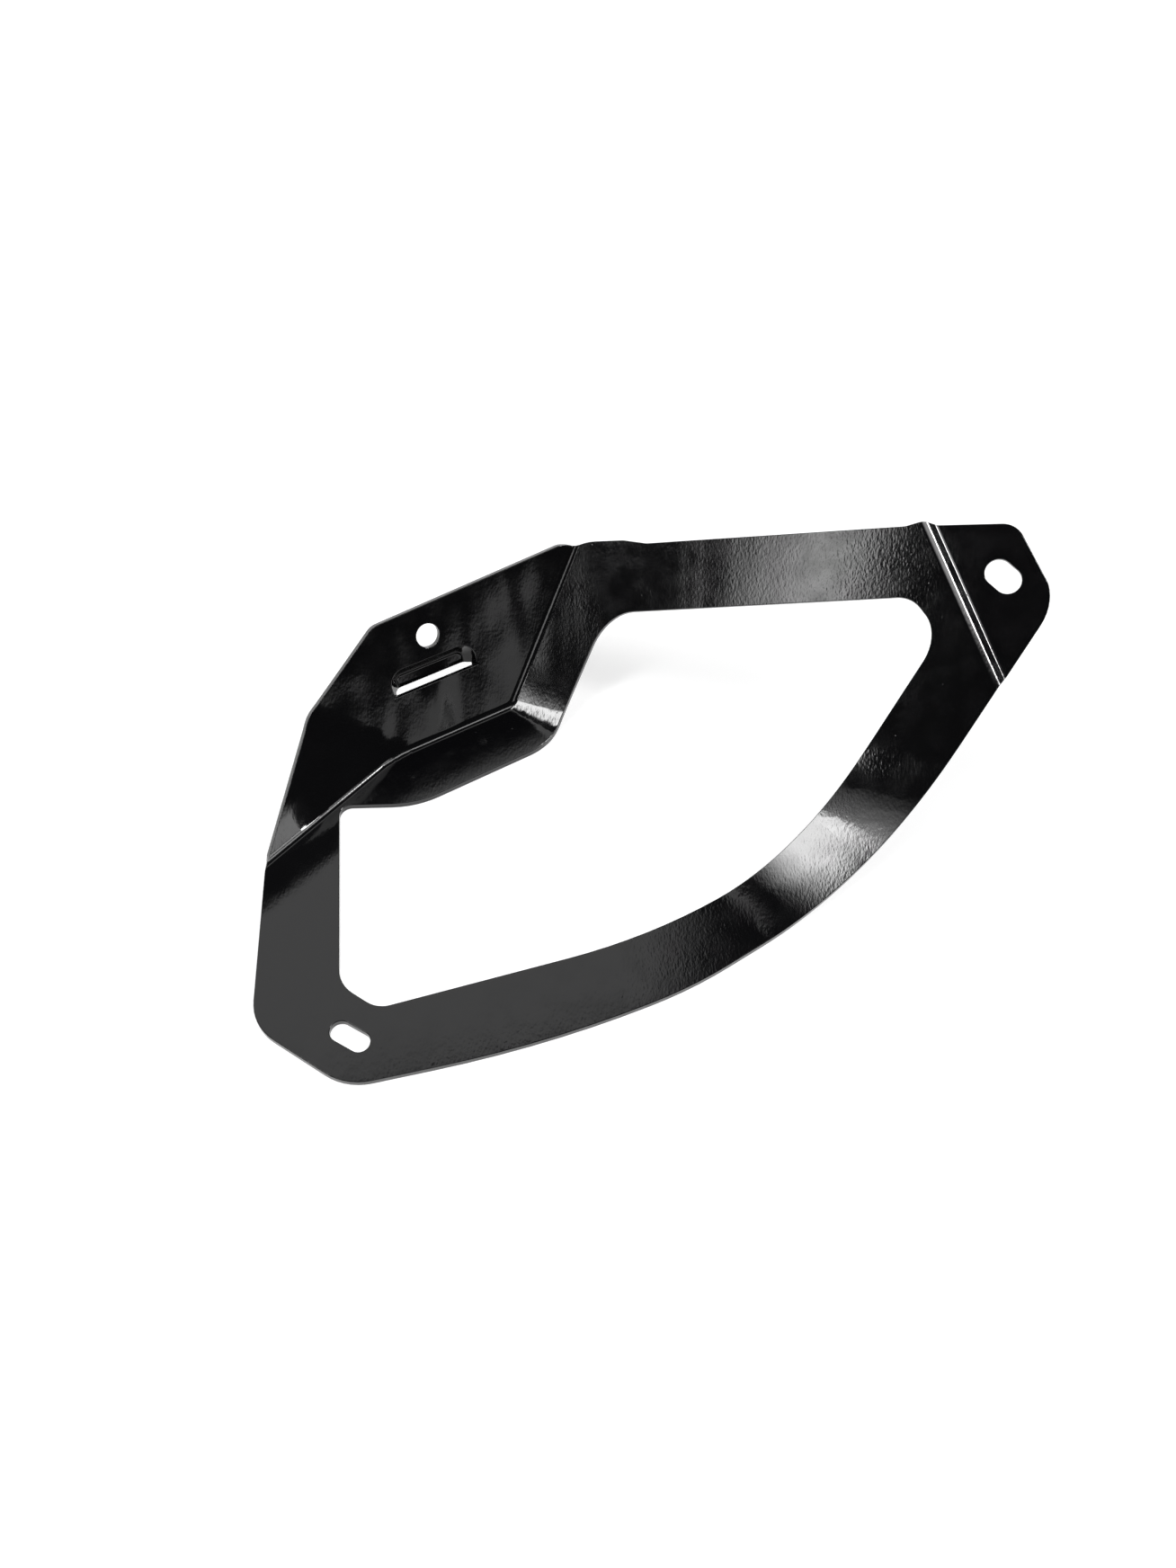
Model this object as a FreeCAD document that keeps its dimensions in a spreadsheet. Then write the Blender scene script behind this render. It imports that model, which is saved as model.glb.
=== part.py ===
import FreeCAD, Part
import math
import os
import Sketcher

# Fender bracket: one piece of pressed steel sheet, a ring of flat members round a large
# opening, folded into a shallow bowl. Millimetres.
#
# The bench frame has its origin where the three main folds would meet and its XY plane on
# the upper face of the seat (the left member and the left half of the lower band).
# The wing (top member, right half of the band, tip) tilts up from the seat along the keel.
# The panel with the round hole stands up from both along the valley fold, and the leaf
# turns off the panel towards the left member.

V = FreeCAD.Vector

doc = FreeCAD.newDocument("fender_bracket")

sizes = doc.addObject("Spreadsheet::Sheet", "sizes")

dimensions = {
    "sheet_thickness": 2.0,
    # directions of the folds seen from above, and how far each leaf stands up from the seat
    "keel_bearing": -28.8,
    "wing_tilt": 42.2,
    "valley_bearing": 31.4,
    "panel_tilt": 60.7,
    "leaf_fold_start": 37.7,
    "leaf_fold_direction": 134.4,
    "leaf_fold_angle": 19.6,
    # bend radii on the upper face
    "keel_radius_at_valley": 6.0,
    "keel_flare": 0.79,
    "valley_radius": 3.0,
    "leaf_radius": 30.0,
    # step that lowers the tip
    "joggle_along_keel": 90.2,
    "joggle_up_wing": 92.6,
    "joggle_direction": -42.7,
    "joggle_depth": 2.3,
    "joggle_slope": 40.0,
    "joggle_radius": 1.5,
    # how far the form that gives the bends runs past the part
    "trim_margin": 5.0,
    # fixings
    "bolt_hole_diameter": 7.0,
    "bolt_hole_inset_along": 14.7,
    "bolt_hole_inset_down": 8.2,
    "foot_slot_length": 11.0,
    "foot_slot_width": 5.5,
    "foot_slot_turn": -28.5,
    "foot_slot_inset_x": -0.4,
    "foot_slot_inset_y": 12.9,
    "tip_slot_length": 10.4,
    "tip_slot_width": 7.2,
    "tip_slot_turn": 23.7,
    "tip_slot_from_joggle": 12.8,
    "tip_slot_along_joggle": 21.2,
    # louvre in the panel
    "louvre_length": 26.8,
    "louvre_width": 7.5,
    "louvre_depth": 4.6,
    "louvre_gap": 0.7,
    "louvre_draft": 33.0,
    "louvre_corner_radius": 4.6,
    "louvre_floor_radius": 1.5,
    "louvre_centre_along": -19.8,
    "louvre_lip_height": 16.6,
}

# Corners of the trimmed outline and of the opening, seen from above: place and radius.
outline_corners = {
    "foot_left": (-60.4, -105.0, 13.5),
    "foot_toe": (-35.4, -120.2, 15.5),
    "band_low": (13.0, -108.3, 330.0),
    "band_turn": (50.5, -91.8, 134.0),
    "band_rise": (84.7, -68.9, 298.0),
    "band_end": (112.1, -45.2, 211.0),
    "tip_root": (133.3, -19.5, 10.0),
    "tip_nose": (145.5, -4.7, 8.5),
    "tip_top": (135.0, 13.6, 8.0),
    "joggle_top": (115.0, 17.8, 6.0),
    "member_top": (107.0, 17.6, 6.0),
    "member_root": (38.3, 29.6, 6.1),
    "valley_top_right": (31.7, 31.8, 4.1),
    "valley_top_left": (17.5, 34.6, 15.2),
    "panel_corner": (-38.2, -1.1, 9.4),
    "leaf_corner": (-55.0, -21.4, 9.1),
    "leaf_root": (-64.3, -59.2, 11.4),
}
opening_corners = {
    "opening_foot_low": (-29.9, -99.6, 7.2),
    "opening_band": (65.4, -69.3, 171.0),
    "opening_right": (116.9, -7.5, 7.8),
    "opening_top_right": (109.3, 2.1, 9.6),
    "opening_top_left": (27.4, 16.1, 11.1),
    "opening_keel_top": (15.3, -5.2, 10.0),
    "opening_keel": (11.7, -13.7, 20.0),
    "opening_seat": (-25.3, -36.5, 28.0),
    "opening_leaf": (-46.9, -37.9, 3.4),
    "opening_foot_high": (-40.2, -93.2, 8.9),
}
for corners in (outline_corners, opening_corners):
    for name, (x, y, radius) in corners.items():
        dimensions[name + "_x"] = x
        dimensions[name + "_y"] = y
        dimensions[name + "_radius"] = radius

for row, (alias, value) in enumerate(dimensions.items(), start=1):
    sizes.set("A%d" % row, alias)
    sizes.set("B%d" % row, str(value))
    sizes.setAlias("B%d" % row, alias)
doc.recompute()


def value_of(expression):
    result = sizes.evalExpression(expression)
    return float(getattr(result, "Value", result))


def bind(obj, **expressions):
    """Tie properties of an object to the sheet."""
    for name, expression in expressions.items():
        obj.setExpression(name, expression)


def rounded_sketch(name, corners):
    """A closed sketch through corner points, each given as expressions x, y, radius."""
    sketch = doc.addObject("Sketcher::SketchObject", name)
    points = [V(value_of(x), value_of(y), 0) for x, y, _ in corners]
    radii = [value_of(r) if r else 0.0 for _, _, r in corners]
    count = len(corners)
    starts, ends, arcs = [], [], []
    for i, corner in enumerate(points):
        back = (points[i - 1] - corner).normalize()
        ahead = (points[(i + 1) % count] - corner).normalize()
        if radii[i] == 0:
            starts.append(corner)
            ends.append(corner)
            arcs.append(None)
            continue
        half = back.getAngle(ahead) / 2
        setback = radii[i] / math.tan(half)
        middle = corner + (back + ahead).normalize() * (radii[i] / math.sin(half) - radii[i])
        starts.append(corner + back * setback)
        ends.append(corner + ahead * setback)
        arcs.append(Part.Arc(starts[i], middle, ends[i]))
    lines = []
    for i in range(count):
        lines.append(sketch.addGeometry(Part.LineSegment(ends[i], starts[(i + 1) % count])))
    for i, (x, y, radius) in enumerate(corners):
        before, after = lines[i - 1], lines[i]
        if arcs[i] is None:
            sketch.addConstraint(Sketcher.Constraint("Coincident", before, 2, after, 1))
            target = after, 1
        else:
            arc = sketch.addGeometry(arcs[i])
            turns_left = (starts[i] - points[i]).cross(ends[i] - points[i]).z < 0
            first, last = (1, 2) if turns_left else (2, 1)
            if (sketch.getPoint(arc, first) - starts[i]).Length > 1e-4:
                first, last = last, first
            sketch.addConstraint(Sketcher.Constraint("Tangent", before, 2, arc, first))
            sketch.addConstraint(Sketcher.Constraint("Tangent", arc, last, after, 1))
            index = sketch.addConstraint(Sketcher.Constraint("Radius", arc, radii[i]))
            sketch.setExpression("Constraints[%d]" % index, radius)
            apex = sketch.addGeometry(Part.Point(points[i]), True)
            sketch.addConstraint(Sketcher.Constraint("PointOnObject", apex, 1, before))
            sketch.addConstraint(Sketcher.Constraint("PointOnObject", apex, 1, after))
            target = apex, 1
        for kind, expression, coordinate in (("DistanceX", x, points[i].x), ("DistanceY", y, points[i].y)):
            index = sketch.addConstraint(Sketcher.Constraint(kind, -1, 1, *target, coordinate))
            sketch.setExpression("Constraints[%d]" % index, expression)
    return sketch


def corner_names(corners):
    return [("sizes.%s_x" % n, "sizes.%s_y" % n, "sizes.%s_radius" % n) for n in corners]


def extrude(name, sketch, length, symmetric=False, taper=None, placement=None):
    """A solid drawn out of a sketch along its normal."""
    solid = doc.addObject("Part::Extrusion", name)
    solid.Base = sketch
    solid.DirMode = "Normal"
    solid.Solid = True
    solid.Symmetric = symmetric
    bind(solid, LengthFwd=length)
    if taper:
        bind(solid, TaperAngle=taper)
    if placement:
        bind(sketch, Placement=placement)
    return solid


def faces_on(shape, formed):
    """Faces of a shape that lie on one of the given faces."""
    found = []
    for face in shape.Faces:
        u, v = face.Surface.parameter(face.CenterOfMass)
        middle = Part.Vertex(face.Surface.value(u, v))
        if any(middle.distToShape(other)[0] < 1e-4 for other in formed):
            found.append(face)
    return found


def formed_faces(block):
    """The faces of a block that pass close to its own origin."""
    centre = Part.Vertex(block.Base.Placement.Base)
    return [face for face in block.Shape.Faces if centre.distToShape(face)[0] < value_of(form_span)]


# Frames of the leaves. Z of each is square to the leaf and points into the bowl.
turned = "rotation(vector(1; 1; 1); 120)"
panel_frame = "placement(vector(0; 0; 0); rotationz(sizes.valley_bearing) * rotationx(sizes.panel_tilt))"
wing_frame = "placement(vector(0; 0; 0); rotationz(sizes.keel_bearing) * rotationx(sizes.wing_tilt))"

# The form: the space inside the bowl, bounded by the upper faces of all leaves. It spans the
# foot, reaches past the tip along the keel and stands higher than the tip.
form_span = "(sqrt(sizes.foot_toe_x ^ 2 + sizes.foot_toe_y ^ 2) + 2 * sizes.trim_margin)"
form_reach = (
    "(sizes.tip_nose_x * cos(sizes.keel_bearing) + sizes.tip_nose_y * sin(sizes.keel_bearing)"
    " + sizes.trim_margin)"
)
form_height = (
    "((sizes.tip_top_y * cos(sizes.keel_bearing) - sizes.tip_top_x * sin(sizes.keel_bearing))"
    " * tan(sizes.wing_tilt) + 2 * sizes.trim_margin)"
)
seat_block = doc.addObject("Part::Box", "seat_block")
bind(
    seat_block,
    Length=form_span + " + " + form_reach,
    Width="2 * " + form_span,
    Height=form_height,
    Placement="placement(vector(0; 0; 0); rotationz(sizes.keel_bearing))"
    " * placement(vector(-%s; -%s; 0); rotationz(0))" % (form_span, form_span),
)

far = "2 * " + form_span
panel_profile = rounded_sketch("panel_profile", [
    ("-" + far, "0", None),
    ("0", "0", "sizes.leaf_radius"),
    (far + " * cos(sizes.leaf_fold_angle)", far + " * sin(sizes.leaf_fold_angle)", None),
    (far, far, None),
    ("-" + far, far, None),
])
panel_block = extrude(
    "panel_block", panel_profile, "2 * " + far, symmetric=True,
    placement=panel_frame + " * placement(vector(-sizes.leaf_fold_start; 0; 0);"
    " rotationz(sizes.leaf_fold_direction)) * placement(vector(0; 0; 0); " + turned + ")",
)

joggle_run = "sizes.joggle_depth / tan(sizes.joggle_slope)"
wing_profile = rounded_sketch("wing_profile", [
    ("-" + far, "0", None),
    ("0", "0", "sizes.joggle_radius + sizes.sheet_thickness"),
    (joggle_run, "-sizes.joggle_depth", "sizes.joggle_radius"),
    (far, "-sizes.joggle_depth", None),
    (far, far, None),
    ("-" + far, far, None),
])
joggle_frame = (
    wing_frame + " * placement(vector(sizes.joggle_along_keel; sizes.joggle_up_wing; 0);"
    " rotationz(sizes.joggle_direction))"
)
wing_block = extrude(
    "wing_block", wing_profile, "2 * " + far, symmetric=True,
    placement=joggle_frame + " * placement(vector(0; 0; 0); " + turned + ")",
)

form = doc.addObject("Part::MultiCommon", "form")
form.Shapes = [seat_block, panel_block, wing_block]
doc.recompute()

# The keel is a cone-like bend: tight where it leaves the valley, wide at the lower band.
keel_end = V(value_of(form_reach), 0, 0)
keel_end = FreeCAD.Rotation(V(0, 0, 1), sizes.keel_bearing).multVec(keel_end)
keel_bend = doc.addObject("Part::Fillet", "keel_bend")
keel_bend.Base = form
for index, edge in enumerate(form.Shape.Edges, start=1):
    points = [vertex.Point for vertex in edge.Vertexes]
    at_valley = [p.Length < 0.01 for p in points]
    at_reach = [(p - keel_end).Length < 0.01 for p in points]
    if any(at_valley) and any(at_reach):
        radii = [sizes.keel_radius_at_valley]
        radii.append(radii[0] + sizes.keel_flare * keel_end.Length)
        if not at_valley[0]:
            radii.reverse()
        keel_bend.Edges = [(index, *radii)]
doc.recompute()

# The valley runs round the foot of the panel and the leaf in one tight bend.
valley_bend = doc.addObject("Part::Fillet", "valley_bend")
valley_bend.Base = keel_bend
bent = keel_bend.Shape
walls = faces_on(bent, formed_faces(panel_block))
seat_plane = [face for face in seat_block.Shape.Faces if abs(face.CenterOfMass.z) < 1e-6]
trough = faces_on(bent, seat_plane + formed_faces(wing_block))
trough += [face for face in bent.Faces if face.Surface.TypeId == "Part::GeomBSplineSurface"]
valley_edges = []
for index, edge in enumerate(bent.Edges, start=1):
    sides = bent.ancestorsOfType(edge, Part.Face)
    on_wall = any(side.isSame(face) for side in sides for face in walls)
    on_trough = any(side.isSame(face) for side in sides for face in trough)
    if on_wall and on_trough:
        valley_edges.append((index, sizes.valley_radius, sizes.valley_radius))
valley_bend.Edges = valley_edges
doc.recompute()
print("keel edges", len(keel_bend.Edges), "valley edges", len(valley_edges))

# The trimmed upper face of the sheet, then the sheet itself with its edges cut square.
outline = rounded_sketch("outline", corner_names(outline_corners))
opening = rounded_sketch("opening", corner_names(opening_corners))
below = "placement(vector(0; 0; -sizes.trim_margin); rotationz(0))"
outline_prism = extrude("outline_prism", outline, form_height, placement=below)
opening_prism = extrude("opening_prism", opening, form_height, placement=below)
trim = doc.addObject("Part::Cut", "trim")
trim.Base = outline_prism
trim.Tool = opening_prism
doc.recompute()

skin = doc.addObject("Part::Feature", "skin")
skin.Shape = Part.makeShell(Part.makeShell(valley_bend.Shape.Faces).common(trim.Shape).Faces)

sheet = doc.addObject("Part::Offset", "sheet")
sheet.Source = skin
sheet.Fill = True
sheet.Mode = "Skin"
sheet.Join = "Arc"
bind(sheet, Value="sizes.sheet_thickness")


def slot_sketch(name, length, width, placement):
    """A slot outline centred on its own origin and lying along X."""
    sketch = doc.addObject("Sketcher::SketchObject", name)
    radius = value_of(width) / 2
    half = value_of(length) / 2 - radius
    up, right = V(0, 0, 1), V(half, 0, 0)
    top = sketch.addGeometry(Part.LineSegment(V(half, radius, 0), V(-half, radius, 0)))
    low = sketch.addGeometry(Part.LineSegment(V(-half, -radius, 0), V(half, -radius, 0)))
    circles = [Part.Circle(right, up, radius), Part.Circle(-right, up, radius)]
    quarter = math.pi / 2
    end = sketch.addGeometry(Part.ArcOfCircle(circles[0], -quarter, quarter))
    start = sketch.addGeometry(Part.ArcOfCircle(circles[1], quarter, 3 * quarter))
    rules = [
        ("Tangent", top, 1, end, 2), ("Tangent", top, 2, start, 1),
        ("Tangent", low, 1, start, 2), ("Tangent", low, 2, end, 1),
        ("PointOnObject", end, 3, -1), ("Symmetric", end, 3, start, 3, -1, 1),
    ]
    for rule in rules:
        sketch.addConstraint(Sketcher.Constraint(*rule))
    index = sketch.addConstraint(Sketcher.Constraint("Radius", end, radius))
    sketch.setExpression("Constraints[%d]" % index, "(%s) / 2" % width)
    index = sketch.addConstraint(Sketcher.Constraint("DistanceX", start, 3, end, 3, 2 * half))
    sketch.setExpression("Constraints[%d]" % index, "%s - (%s)" % (length, width))
    bind(sketch, Placement=placement)
    return sketch


def punch(name, length, width, placement):
    """A slot-shaped cutter that runs through the sheet on both sides."""
    sketch = slot_sketch(name + "_outline", length, width, placement)
    return extrude(name, sketch, form_height + " / 2", symmetric=True)


foot_slot = punch(
    "foot_slot", "sizes.foot_slot_length", "sizes.foot_slot_width",
    "placement(vector(sizes.foot_toe_x + sizes.foot_slot_inset_x;"
    " sizes.foot_toe_y + sizes.foot_slot_inset_y; 0); rotationz(sizes.foot_slot_turn))",
)
tip_slot = punch(
    "tip_slot", "sizes.tip_slot_length", "sizes.tip_slot_width",
    joggle_frame + " * placement(vector(sizes.tip_slot_along_joggle; sizes.tip_slot_from_joggle; 0);"
    " rotationz(sizes.tip_slot_turn))",
)

# The bolt hole is set in from the panel's top corner, measured in the panel's own plane.
corner_along = "(sizes.panel_corner_x * cos(sizes.valley_bearing) + sizes.panel_corner_y * sin(sizes.valley_bearing))"
corner_up = (
    "(sizes.panel_corner_y * cos(sizes.valley_bearing) - sizes.panel_corner_x * sin(sizes.valley_bearing))"
    " / cos(sizes.panel_tilt)"
)
bolt_hole = doc.addObject("Part::Cylinder", "bolt_hole")
bind(
    bolt_hole,
    Radius="sizes.bolt_hole_diameter / 2",
    Height=form_height + " / 2",
    Placement=panel_frame + " * placement(vector(" + corner_along + " + sizes.bolt_hole_inset_along; "
    + corner_up + " - sizes.bolt_hole_inset_down; -" + form_height + " / 4); rotationz(0))",
)

# The louvre is half a tray pressed out behind the panel. A narrow gap along its lower lip
# parts the tray from the panel.
lip_frame = (
    panel_frame + " * placement(vector(sizes.louvre_centre_along; sizes.louvre_lip_height; 0); rotationz(0))"
    " * placement(vector(0; 0; 0); rotationx(180))"
)
louvre_wall = "sizes.sheet_thickness / cos(sizes.louvre_draft)"


def half_tray(name, margin, depth, floor_radius, gap):
    """A drafted tray with rounded corners behind the panel, kept from a gap above the lip up."""
    half_length = "(sizes.louvre_length / 2 + %s)" % margin
    width = "(sizes.louvre_width + %s)" % margin
    corner = "sizes.louvre_corner_radius + %s" % margin
    sketch = rounded_sketch(name + "_outline", [
        ("-" + half_length, "-" + width, corner),
        (half_length, "-" + width, corner),
        (half_length, width, corner),
        ("-" + half_length, width, corner),
    ])
    tray = extrude(name + "_tray", sketch, depth, taper="-sizes.louvre_draft", placement=lip_frame)
    doc.recompute()
    rounded = doc.addObject("Part::Fillet", name + "_rounded")
    rounded.Base = tray
    to_tray = sketch.Placement.inverse()
    floor = value_of(depth)
    edges = []
    for index, edge in enumerate(tray.Shape.Edges, start=1):
        if all(abs(to_tray.multVec(vertex.Point).z - floor) < 1e-4 for vertex in edge.Vertexes):
            edges.append((index, value_of(floor_radius), value_of(floor_radius)))
    rounded.Edges = edges
    upper = doc.addObject("Part::Box", name + "_upper")
    bind(
        upper,
        Length="4 * " + half_length,
        Width=form_height,
        Height=form_height,
        Placement=lip_frame + " * placement(vector(-2 * %s; -%s - %s; -%s / 2); rotationz(0))"
        % (half_length, form_height, gap, form_height),
    )
    half = doc.addObject("Part::Common", name)
    half.Base = rounded
    half.Tool = upper
    return half


louvre_outside = half_tray(
    "louvre_outside", louvre_wall, "sizes.louvre_depth + sizes.sheet_thickness",
    "sizes.louvre_floor_radius + sizes.sheet_thickness", "sizes.louvre_gap",
)
louvre_inside = half_tray(
    "louvre_inside", "0", "sizes.louvre_depth", "sizes.louvre_floor_radius", "0",
)

pressed = doc.addObject("Part::Fuse", "pressed")
pressed.Base = sheet
pressed.Tool = louvre_outside
cutters = doc.addObject("Part::MultiFuse", "cutters")
cutters.Shapes = [louvre_inside, bolt_hole, foot_slot, tip_slot]

bracket = doc.addObject("Part::Cut", "bracket")
bracket.Label = "fender_bracket"
bracket.Base = pressed
bracket.Tool = cutters
bracket.Refine = True
bind(
    bracket,
    Placement="placement(vector(-sizes.foot_toe_x - sizes.foot_slot_inset_x;"
    " -sizes.foot_toe_y - sizes.foot_slot_inset_y; sizes.sheet_thickness); rotationz(0))",
)
doc.recompute()

for obj in doc.Objects:
    if "Invalid" in obj.State or "Error" in obj.State:
        raise RuntimeError("failed object: " + obj.Name)
nodes = [bracket]
for node in nodes:
    if node.Shape.isNull() or not node.Shape.isValid():
        raise RuntimeError("bad shape: " + node.Label)

os.makedirs("parts", exist_ok=True)
for node in nodes:
    node.Shape.exportStep("parts/" + node.Label + ".step")
    print(node.Label, len(node.Shape.Solids), "solid", round(node.Shape.Volume), "mm3", node.Shape.BoundBox)
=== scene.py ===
import math
import bmesh
import bpy
from mathutils import Matrix, Vector


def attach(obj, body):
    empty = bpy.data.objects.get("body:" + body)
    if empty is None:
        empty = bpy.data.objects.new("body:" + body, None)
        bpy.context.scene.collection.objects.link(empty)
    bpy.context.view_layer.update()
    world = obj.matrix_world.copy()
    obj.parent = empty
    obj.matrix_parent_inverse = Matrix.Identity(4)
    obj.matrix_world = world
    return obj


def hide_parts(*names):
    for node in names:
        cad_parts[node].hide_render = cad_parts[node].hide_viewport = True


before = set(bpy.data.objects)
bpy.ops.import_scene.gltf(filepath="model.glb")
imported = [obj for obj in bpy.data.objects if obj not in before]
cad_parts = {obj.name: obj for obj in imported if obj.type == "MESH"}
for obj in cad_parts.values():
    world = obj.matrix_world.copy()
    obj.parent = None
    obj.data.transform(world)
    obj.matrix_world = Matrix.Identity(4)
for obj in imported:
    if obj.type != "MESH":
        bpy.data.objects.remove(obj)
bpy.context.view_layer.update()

print("frame loaded:", sorted(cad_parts))


def linearColour(hexCode):  # sRGB hex to the linear values that the shaders take
    parts = [int(hexCode[i:i + 2], 16) / 255 for i in (1, 3, 5)]
    return [p / 12.92 if p <= 0.04045 else ((p + 0.055) / 1.055) ** 2.4 for p in parts] + [1.0]


def addNode(tree, kind, settings=None, links=None):  # a link comes from a socket, or a node's first one
    node = tree.nodes.new(kind)
    for key, value in (settings or {}).items():
        if isinstance(key, str) and key in node.bl_rna.properties:
            setattr(node, key, value)
        else:
            node.inputs[key].default_value = value
    for key, source in (links or {}).items():
        socket = source.outputs[0] if isinstance(source, bpy.types.Node) else source
        tree.links.new(socket, node.inputs[key])
    return node


# camera: where the photograph was taken from, and the directions of its axes, in the frame of the part
camera = {
    "place": (0.0461, -0.1203, 0.2775),
    "right": (0.99889, 0.0, 0.04703),
    "up": (-0.02756, 0.81033, 0.58532),
    "back": (-0.03811, -0.58597, 0.80944),
    "lens": 27.04,
    "sensor": 36.0,
    "near": 0.01,
}


def placeCamera(look):
    data = bpy.data.cameras.new("photoCamera")
    data.lens = look["lens"]
    data.sensor_width = look["sensor"]
    data.clip_start = look["near"]
    photoCamera = bpy.data.objects.new("photoCamera", data)
    turn = Matrix([look["right"], look["up"], look["back"]]).transposed()
    photoCamera.matrix_world = Matrix.Translation(look["place"]) @ turn.to_4x4()
    bpy.context.scene.collection.objects.link(photoCamera)
    bpy.context.scene.camera = photoCamera


placeCamera(camera)
print("camera placed")


# bracket: the pressed sheet, with its cut edges softened as paint leaves them
bracketLook = {
    "node": "fender_bracket",
    "mergeGap": 0.000002,
    "flatAngle": 0.3,      # degrees between triangles that lie in one plane
    "edgeAngle": 35.0,     # degrees at which an edge counts as cut, not bent
    "edgeSoftness": 0.00018,
    "edgeSteps": 2,
    "flatWeight": 100,     # how far the normals favour the large flat faces
}


def markRims(work):  # the two skins are the largest smooth regions, and the rest is cut edge
    regions = []
    waiting = set(work.faces)
    while waiting:
        region = [waiting.pop()]
        for face in region:
            for edge in face.edges:
                if edge.smooth:
                    fresh = [other for other in edge.link_faces if other in waiting]
                    waiting.difference_update(fresh)
                    region.extend(fresh)
        regions.append(region)
    regions.sort(key=lambda region: -sum(face.calc_area() for face in region))
    for region in regions[2:]:
        for face in region:
            face.material_index = 1


def dressBracket(look):
    edgeAngle = math.radians(look["edgeAngle"])
    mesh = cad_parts[look["node"]].data.copy()
    mesh.name = "bracketSheet"
    work = bmesh.new()
    work.from_mesh(mesh)
    bmesh.ops.remove_doubles(work, verts=work.verts, dist=look["mergeGap"])
    bmesh.ops.dissolve_limit(
        work, angle_limit=math.radians(look["flatAngle"]), verts=work.verts, edges=work.edges
    )
    for face in work.faces:
        face.smooth = True
    for edge in work.edges:
        edge.smooth = edge.calc_face_angle(0) < edgeAngle
    markRims(work)
    work.to_mesh(mesh)
    work.free()
    if "custom_normal" in mesh.attributes:
        mesh.attributes.remove(mesh.attributes["custom_normal"])
    piece = bpy.data.objects.new("bracketSheet", mesh)
    bpy.context.scene.collection.objects.link(piece)
    bevel = piece.modifiers.new("softEdges", "BEVEL")
    bevel.limit_method = "ANGLE"
    bevel.angle_limit = edgeAngle
    bevel.width = look["edgeSoftness"]
    bevel.segments = look["edgeSteps"]
    bevel.use_clamp_overlap = True
    weighted = piece.modifiers.new("evenNormals", "WEIGHTED_NORMAL")
    weighted.mode = "FACE_AREA"
    weighted.weight = look["flatWeight"]
    weighted.keep_sharp = True
    return piece


bracket = dressBracket(bracketLook)
print("bracket sheet:", len(bracket.data.polygons), "faces")


# enamel: gloss black stoving enamel, sprayed and baked, which mirrors the studio with a faint orange peel,
# stands thin on the sheared edges and follows the ripple of the pressing; the cut edges are a lighter grey,
# partly thin paint and partly painted reflection of the pale floor
enamel = {
    "colour": "#050506",
    # lighter grey on the cut edges: partly thin paint, partly a painted reflection of the pale floor
    "edgeColourWithPaintedSheen": "#343435",
    "ior": 1.5,
    "roughness": (0.07, 0.12),
    "glossPatch": {"size": 6.0, "detail": 2.0, "limits": (0.3, 0.7)},  # size in mm
    "edgeRoughness": 0.28,
    "normals": {                    # which way each flat leaf of the sheet faces
        "seat": (0.0, 0.0, 1.0),
        "panel": (0.4537, -0.7445, 0.4897),
        "wing": (-0.3232, -0.5883, 0.7412),
        "leaf": (0.5714, -0.4783, 0.6669),
    },
    "leafGrip": (0.97, 0.999),      # cosines to a leaf's normal where its own ripples begin and are full
    "folds": {                      # a point on each fold, and its bearing on the seat in degrees
        "valley": ((0.0358, 0.1073), 31.4),
        "keel": ((0.0358, 0.1073), -28.8),
        "leaf": ((0.0036, 0.0877), 50.1),
    },
    "foldBlend": 0.004,             # metres over which the valley and the leaf's fold run into one
    # the sheet springs a little beside its folds: how far in metres, and how high in mm
    "seatEase": {"width": 0.018, "rise": -2.0, "valleyShare": 0.65},
    "wingEase": {"width": 0.014, "rise": 1.3},
    "leafEase": {"width": 0.009, "rise": 1.75, "along": (0.026, 0.037)},  # only at the outer end
    # patterns in the surface: size and height in mm, then how each is drawn out and turned
    "patterns": [
        # the broad ripple of the panel, which streaks what it mirrors
        {"on": "panel", "size": 18.0, "rise": 1.5, "detail": 0.5,
         "stretch": (1.0, 0.5, 0.5), "turn": 30.0, "swirl": 0.8},
        # the finer one that runs across the wing as far as the middle of the top member
        {"on": "wing", "size": 7.0, "rise": 0.14, "detail": 0.0,
         "stretch": (1.0, 0.12, 0.12), "turn": 8.0, "until": (0.115, 0.080)},
        # orange peel, as the sprayed coat levels
        {"size": 1.3, "rise": 0.008, "detail": 1.0},
        # spray grain, drawn coarser than real so that it shows
        {"size": 0.55, "rise": 0.014, "detail": 1.0, "stretch": (1.0, 0.45, 0.45), "turn": 35.0},
    ],
    # specks of dust under the paint, larger than real so that they show: mm apart, wide and high
    "nibs": {"cell": 7.0, "size": 0.3, "height": 0.045},
}
softStep = {"interpolation_type": "SMOOTHSTEP"}


def pastFold(tree, place, fold):  # metres to the right of a fold, looking along its bearing
    point, bearing = fold
    across = Vector((math.sin(math.radians(bearing)), -math.cos(math.radians(bearing)), 0))
    dot = addNode(tree, "ShaderNodeVectorMath", {"operation": "DOT_PRODUCT", 1: across}, {0: place})
    offset = across.dot(Vector((*point, 0)))
    return addNode(tree, "ShaderNodeMath", {"operation": "SUBTRACT", 1: offset}, {0: dot.outputs["Value"]})


def leafMask(tree, facing, normal, grip):  # 1 where the sheet lies in the plane of one leaf
    dot = addNode(tree, "ShaderNodeVectorMath", {"operation": "DOT_PRODUCT", 1: normal}, {0: facing})
    limits = {"From Min": grip[0], "From Max": grip[1]}
    return addNode(tree, "ShaderNodeMapRange", {**softStep, **limits}, {"Value": dot.outputs["Value"]})


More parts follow.
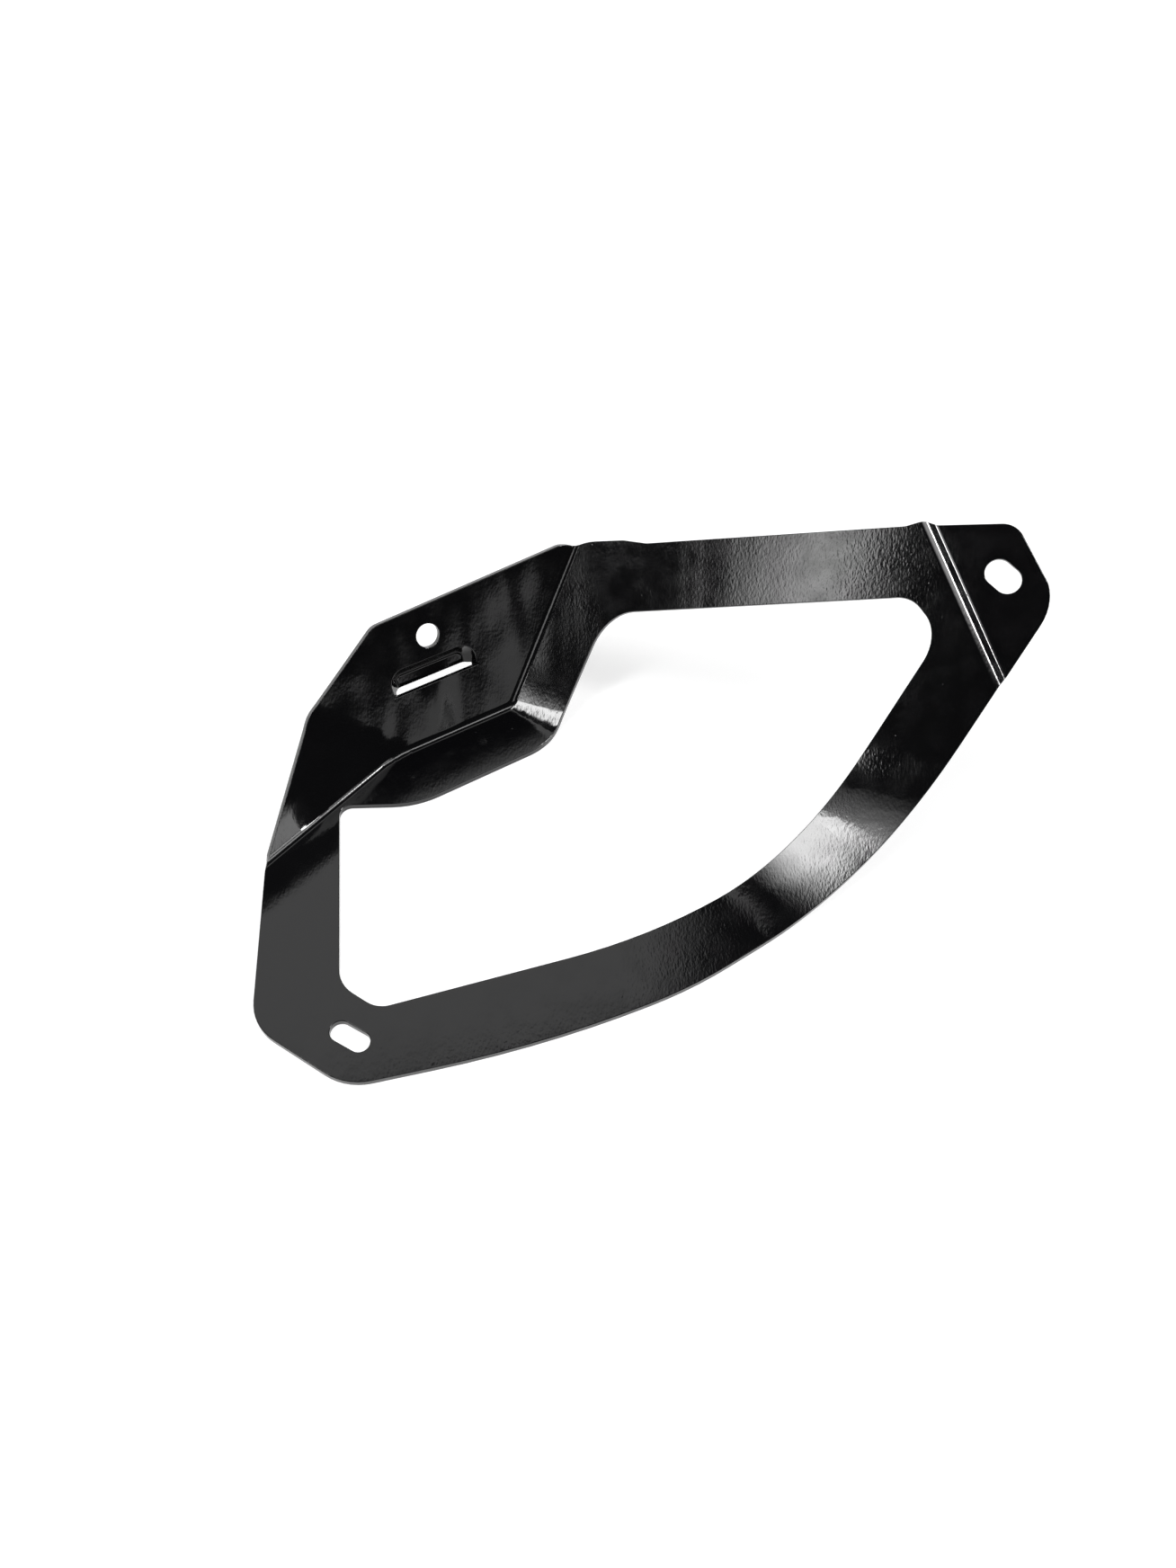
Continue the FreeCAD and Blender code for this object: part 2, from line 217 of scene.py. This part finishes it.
def easeBeside(tree, distance, width, mask):  # steepest at the fold, and gone at its width
    limits = {"From Min": 0.0, "From Max": width, "To Min": 1.0, "To Max": 0.0}
    near = addNode(tree, "ShaderNodeMapRange", limits, {"Value": distance})
    curve = addNode(tree, "ShaderNodeMath", {"operation": "POWER", 1: 2.0}, {0: near})
    return addNode(tree, "ShaderNodeMath", {"operation": "MULTIPLY"}, {0: curve, 1: mask})


def easeLayers(tree, finish, place, masks):  # the spring of the sheet beside each fold, with its height
    folds = finish["folds"]
    toValley = pastFold(tree, place, folds["valley"])
    toLeaf = pastFold(tree, place, folds["leaf"])
    pastKeel = pastFold(tree, place, folds["keel"])
    outward = pastFold(tree, place, (folds["leaf"][0], folds["leaf"][1] - 90))

    ease = finish["seatEase"]
    sharing = {"operation": "MULTIPLY", 1: ease["valleyShare"]}
    share = addNode(tree, "ShaderNodeMath", sharing, {0: toValley})
    blend = {"operation": "SMOOTH_MIN", 2: finish["foldBlend"]}
    toFold = addNode(tree, "ShaderNodeMath", blend, {0: share, 1: toLeaf})
    seat = easeBeside(tree, toFold, ease["width"], masks["seat"])

    wing = easeBeside(tree, pastKeel, -finish["wingEase"]["width"], masks["wing"])

    ease = finish["leafEase"]
    limits = {"From Min": ease["along"][0], "From Max": ease["along"][1]}
    outer = addNode(tree, "ShaderNodeMapRange", {**softStep, **limits}, {"Value": outward})
    mask = addNode(tree, "ShaderNodeMath", {"operation": "MULTIPLY"}, {0: outer, 1: masks["leaf"]})
    leaf = easeBeside(tree, toLeaf, -ease["width"], mask)
    return [(seat, finish["seatEase"]["rise"]), (wing, finish["wingEase"]["rise"]), (leaf, ease["rise"])]


def patternLayer(tree, pattern, place, masks):  # noise of a size in mm, kept to its leaf
    turn = (0, 0, math.radians(pattern.get("turn", 0.0)))
    laying = {"Scale": pattern.get("stretch", (1.0, 1.0, 1.0)), "Rotation": turn}
    laid = addNode(tree, "ShaderNodeMapping", laying, {"Vector": place})
    swirl = pattern.get("swirl", 0.0)
    drawing = {"Scale": 1000 / pattern["size"], "Detail": pattern["detail"], "Distortion": swirl}
    layer = addNode(tree, "ShaderNodeTexNoise", drawing, {"Vector": laid})
    if "on" in pattern:
        mask = masks[pattern["on"]]
        layer = addNode(tree, "ShaderNodeMath", {"operation": "MULTIPLY"}, {0: layer, 1: mask})
    if "until" in pattern:
        parts = addNode(tree, "ShaderNodeSeparateXYZ", {}, {"Vector": place})
        limits = {"From Min": pattern["until"][0], "From Max": pattern["until"][1]}
        near = addNode(tree, "ShaderNodeMapRange", {**softStep, **limits}, {"Value": parts.outputs["X"]})
        layer = addNode(tree, "ShaderNodeMath", {"operation": "MULTIPLY"}, {0: layer, 1: near})
    return layer, pattern["rise"]


def nibLayer(tree, nibs, place):  # one speck in each cell
    cells = addNode(tree, "ShaderNodeTexVoronoi", {"Scale": 1000 / nibs["cell"]}, {"Vector": place})
    limits = {"From Min": nibs["size"] / nibs["cell"], "From Max": 0.0}
    return addNode(tree, "ShaderNodeMapRange", {**softStep, **limits}, {"Value": cells}), nibs["height"]


def makeEnamel(finish, name, colour, roughness):
    material = bpy.data.materials.new(name)
    material.use_nodes = True
    tree = material.node_tree
    shader = tree.nodes["Principled BSDF"]
    shader.inputs["Base Color"].default_value = linearColour(colour)
    shader.inputs["IOR"].default_value = finish["ior"]
    place = addNode(tree, "ShaderNodeTexCoord").outputs["Object"]
    facing = addNode(tree, "ShaderNodeNewGeometry").outputs["Normal"]
    masks = {
        part: leafMask(tree, facing, normal, finish["leafGrip"])
        for part, normal in finish["normals"].items()
    }

    layers = easeLayers(tree, finish, place, masks)
    layers += [patternLayer(tree, pattern, place, masks) for pattern in finish["patterns"]]
    layers.append(nibLayer(tree, finish["nibs"], place))
    height = None
    for layer, rise in layers:
        links = {0: layer, 2: height} if height else {0: layer}
        height = addNode(tree, "ShaderNodeMath", {"operation": "MULTIPLY_ADD", 1: rise, 2: 0.0}, links)
    heightInMm = {"Distance": 0.001, "Strength": 1.0}
    bump = addNode(tree, "ShaderNodeBump", heightInMm, {"Height": height})
    tree.links.new(bump.outputs["Normal"], shader.inputs["Normal"])

    if isinstance(roughness, tuple):
        patch = finish["glossPatch"]
        drawing = {"Scale": 1000 / patch["size"], "Detail": patch["detail"]}
        patches = addNode(tree, "ShaderNodeTexNoise", drawing, {"Vector": place})
        limits = {"From Min": patch["limits"][0], "From Max": patch["limits"][1]}
        limits.update({"To Min": roughness[0], "To Max": roughness[1]})
        gloss = addNode(tree, "ShaderNodeMapRange", {**softStep, **limits}, {"Value": patches})
        tree.links.new(gloss.outputs["Result"], shader.inputs["Roughness"])
    else:
        shader.inputs["Roughness"].default_value = roughness
    return material


bracket.data.materials.clear()
for finishName, colour, roughness in (
    ("glossBlackEnamel", enamel["colour"], enamel["roughness"]),
    # the cut edges' finish: thin paint, with a painted reflection of the pale floor in its lighter grey
    ("thinEdgeEnamelAndPaintedSheen", enamel["edgeColourWithPaintedSheen"], enamel["edgeRoughness"]),
):
    bracket.data.materials.append(makeEnamel(enamel, finishName, colour, roughness))
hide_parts(bracketLook["node"])
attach(bracket, "root")
print("enamel on")


# studio: a pale floor, a pale wall behind the part and strip lamps over it, in a dim room
studio = {
    "floorHalf": 3.0,
    "floorColour": "#a8a8a8",
    "floorRoughness": 0.9,
    "floorGlow": 0.70,
    "roomRadiance": 0.04,
    "wallRadiance": 1.2,
    # the wall's borders, as the Y of a direction with a slope by its X: off at one limit, full at the next
    "wallTop": {"limits": (0.375, 0.40), "slope": -0.25},
    "wallFoot": {"limits": (0.75, 0.69), "slope": -0.45},
    "wallSide": (0.14, 0.10),     # and by its X alone
    "horizonRadiance": 0.9,       # the far end of the pale table
    "horizonHeight": (0.145, 0.10),
    "lampEdge": (1.5, 0.6),       # where a lamp's edge ends and begins, as shares of its half width
    "lampFoot": 0.05,             # no lamp stands lower than this
    # two ends of each lamp as X and Y of a direction, and how much of each end fades
    "stripLamps": [
        # mirrored in the curved band: the highlight and the grey beside it
        {"ends": ((-0.047, 0.331), (-0.302, -0.144)), "half": 0.06, "radiance": 19.0, "fades": (0.6, 0.04)},
        {"ends": ((-0.20, -0.10), (-0.31, -0.36)), "half": 0.06, "radiance": 4.0, "fades": (0.02, 0.95)},
        # in the keel, the wing's streaks and the bright end of the top member
        {"ends": ((-0.31, 0.13), (-0.575, -0.37)), "half": 0.05, "radiance": 22.0, "fades": (0.3, 0.25)},
        {"ends": ((-0.67, -0.33), (-0.63, -0.45)), "half": 0.03, "radiance": 2.2, "fades": (0.3, 0.3)},
        {"ends": ((-0.50, -0.43), (-0.372, -0.465)), "half": 0.05, "radiance": 8.0, "fades": (0.75, 0.2)},
        # in the two bends of the joggle, softly and then brightly
        {"ends": ((-0.05, -0.38), (0.60, 0.0)), "half": 0.08, "radiance": 6.0, "fades": (0.5, 0.15)},
        {"ends": ((0.54, -0.05), (0.72, 0.09)), "half": 0.065, "radiance": 58.0, "fades": (0.45, 0.08)},
        # in the outer end of the small leaf, and in the valley between panel and wing
        {"ends": ((0.62, -0.15), (0.78, -0.28)), "half": 0.05, "radiance": 3.6, "fades": (0.05, 0.3)},
        {"ends": ((0.0, -0.77), (0.30, -0.77)), "half": 0.05, "radiance": 3.0, "fades": (0.2, 0.2)},
    ],
}
white = (1.0, 1.0, 1.0, 1.0)


def makeFloor(look):  # matt pale paper, which clips to white and keeps a soft shadow
    half = look["floorHalf"]
    corners = [(-half, -half, 0), (half, -half, 0), (half, half, 0), (-half, half, 0)]
    mesh = bpy.data.meshes.new("paleFloor")
    mesh.from_pydata(corners, [], [(0, 1, 2, 3)])
    floor = bpy.data.objects.new("paleFloor", mesh)
    bpy.context.scene.collection.objects.link(floor)
    material = bpy.data.materials.new("paleFloorPaper")
    material.use_nodes = True
    tree = material.node_tree
    shader = tree.nodes["Principled BSDF"]
    shader.inputs["Base Color"].default_value = linearColour(look["floorColour"])
    shader.inputs["Roughness"].default_value = look["floorRoughness"]
    shader.inputs["Specular IOR Level"].default_value = 0.0
    shader.inputs["Emission Color"].default_value = white
    path = addNode(tree, "ShaderNodeLightPath")
    seen = path.outputs["Is Camera Ray"]
    for ray in ("Is Glossy Ray", "Is Transmission Ray"):
        seen = addNode(tree, "ShaderNodeMath", {"operation": "MAXIMUM"}, {0: seen, 1: path.outputs[ray]})
    glow = addNode(tree, "ShaderNodeMath", {"operation": "MULTIPLY", 1: look["floorGlow"]}, {0: seen})
    tree.links.new(glow.outputs["Value"], shader.inputs["Emission Strength"])
    mesh.materials.append(material)


def makeWall(tree, look, parts):  # 1 where the pale wall stands, and 0 round it
    limits = {"From Min": look["wallSide"][0], "From Max": look["wallSide"][1]}
    wall = addNode(tree, "ShaderNodeMapRange", {**softStep, **limits}, {"Value": parts.outputs["X"]})
    for border in (look["wallTop"], look["wallFoot"]):
        leaning = {"operation": "MULTIPLY_ADD", 1: border["slope"]}
        sloping = addNode(tree, "ShaderNodeMath", leaning, {0: parts.outputs["X"], 2: parts.outputs["Y"]})
        limits = {"From Min": border["limits"][0], "From Max": border["limits"][1]}
        side = addNode(tree, "ShaderNodeMapRange", {**softStep, **limits}, {"Value": sloping})
        wall = addNode(tree, "ShaderNodeMath", {"operation": "MULTIPLY"}, {0: wall, 1: side})
    return wall


def makeStrip(tree, look, lamp, flat):  # the radiance of one strip lamp, for the direction looked in
    start, end = (Vector((*point, 0)) for point in lamp["ends"])
    span = end - start
    first, last = lamp["fades"]
    fromStart = addNode(tree, "ShaderNodeVectorMath", {"operation": "SUBTRACT", 1: start}, {0: flat})
    measuring = {"operation": "DOT_PRODUCT", 1: span / span.length_squared}
    along = addNode(tree, "ShaderNodeVectorMath", measuring, {0: fromStart}).outputs["Value"]
    held = addNode(tree, "ShaderNodeClamp", {}, {"Value": along})
    nearest = addNode(tree, "ShaderNodeVectorMath", {"operation": "SCALE", 0: span}, {"Scale": held})
    gap = addNode(tree, "ShaderNodeVectorMath", {"operation": "DISTANCE"}, {0: fromStart, 1: nearest})
    outer, inner = (share * lamp["half"] for share in look["lampEdge"])
    limits = {"From Min": outer, "From Max": inner, "To Max": lamp["radiance"]}
    lit = addNode(tree, "ShaderNodeMapRange", {**softStep, **limits}, {"Value": gap.outputs["Value"]})
    for limits in ({"From Min": 0.0, "From Max": first}, {"From Min": 1.0, "From Max": 1.0 - last}):
        fade = addNode(tree, "ShaderNodeMapRange", {**softStep, **limits}, {"Value": along})
        lit = addNode(tree, "ShaderNodeMath", {"operation": "MULTIPLY"}, {0: lit, 1: fade})
    return lit


def makeRoom(look):  # what the gloss sheet mirrors, by direction
    world = bpy.data.worlds.new("studioRoom")
    bpy.context.scene.world = world
    world.use_nodes = True
    tree = world.node_tree
    background = tree.nodes["Background"]
    background.inputs["Color"].default_value = white
    place = addNode(tree, "ShaderNodeTexCoord").outputs["Generated"]
    parts = addNode(tree, "ShaderNodeSeparateXYZ", {}, {"Vector": place})
    flat = addNode(tree, "ShaderNodeCombineXYZ", {}, {"X": parts.outputs["X"], "Y": parts.outputs["Y"]})

    wall = makeWall(tree, look, parts)
    raising = {"operation": "MULTIPLY_ADD", 1: look["wallRadiance"], 2: look["roomRadiance"]}
    total = addNode(tree, "ShaderNodeMath", raising, {0: wall})
    limits = {"From Min": look["horizonHeight"][0], "From Max": look["horizonHeight"][1]}
    horizon = addNode(tree, "ShaderNodeMapRange", {**softStep, **limits}, {"Value": parts.outputs["Z"]})
    raising = {"operation": "MULTIPLY_ADD", 1: look["horizonRadiance"]}
    total = addNode(tree, "ShaderNodeMath", raising, {0: horizon, 2: total})
    limits = {"From Min": 0.0, "From Max": look["lampFoot"]}
    above = addNode(tree, "ShaderNodeMapRange", {**softStep, **limits}, {"Value": parts.outputs["Z"]})
    for lamp in look["stripLamps"]:
        strip = makeStrip(tree, look, lamp, flat)
        links = {0: strip, 1: above, 2: total}
        total = addNode(tree, "ShaderNodeMath", {"operation": "MULTIPLY_ADD"}, links)

    path = addNode(tree, "ShaderNodeLightPath")  # the camera sees white beyond the floor
    rays = {0: path.outputs["Is Camera Ray"], 1: path.outputs["Is Transmission Ray"]}
    straight = addNode(tree, "ShaderNodeMath", {"operation": "MAXIMUM"}, rays)
    mixing = {"data_type": "FLOAT", "B": 1.0}
    seen = addNode(tree, "ShaderNodeMix", mixing, {"Factor": straight, "A": total})
    tree.links.new(seen.outputs["Result"], background.inputs["Strength"])


makeFloor(studio)
makeRoom(studio)
bpy.context.scene.view_settings.view_transform = "Standard"
print("studio lit")
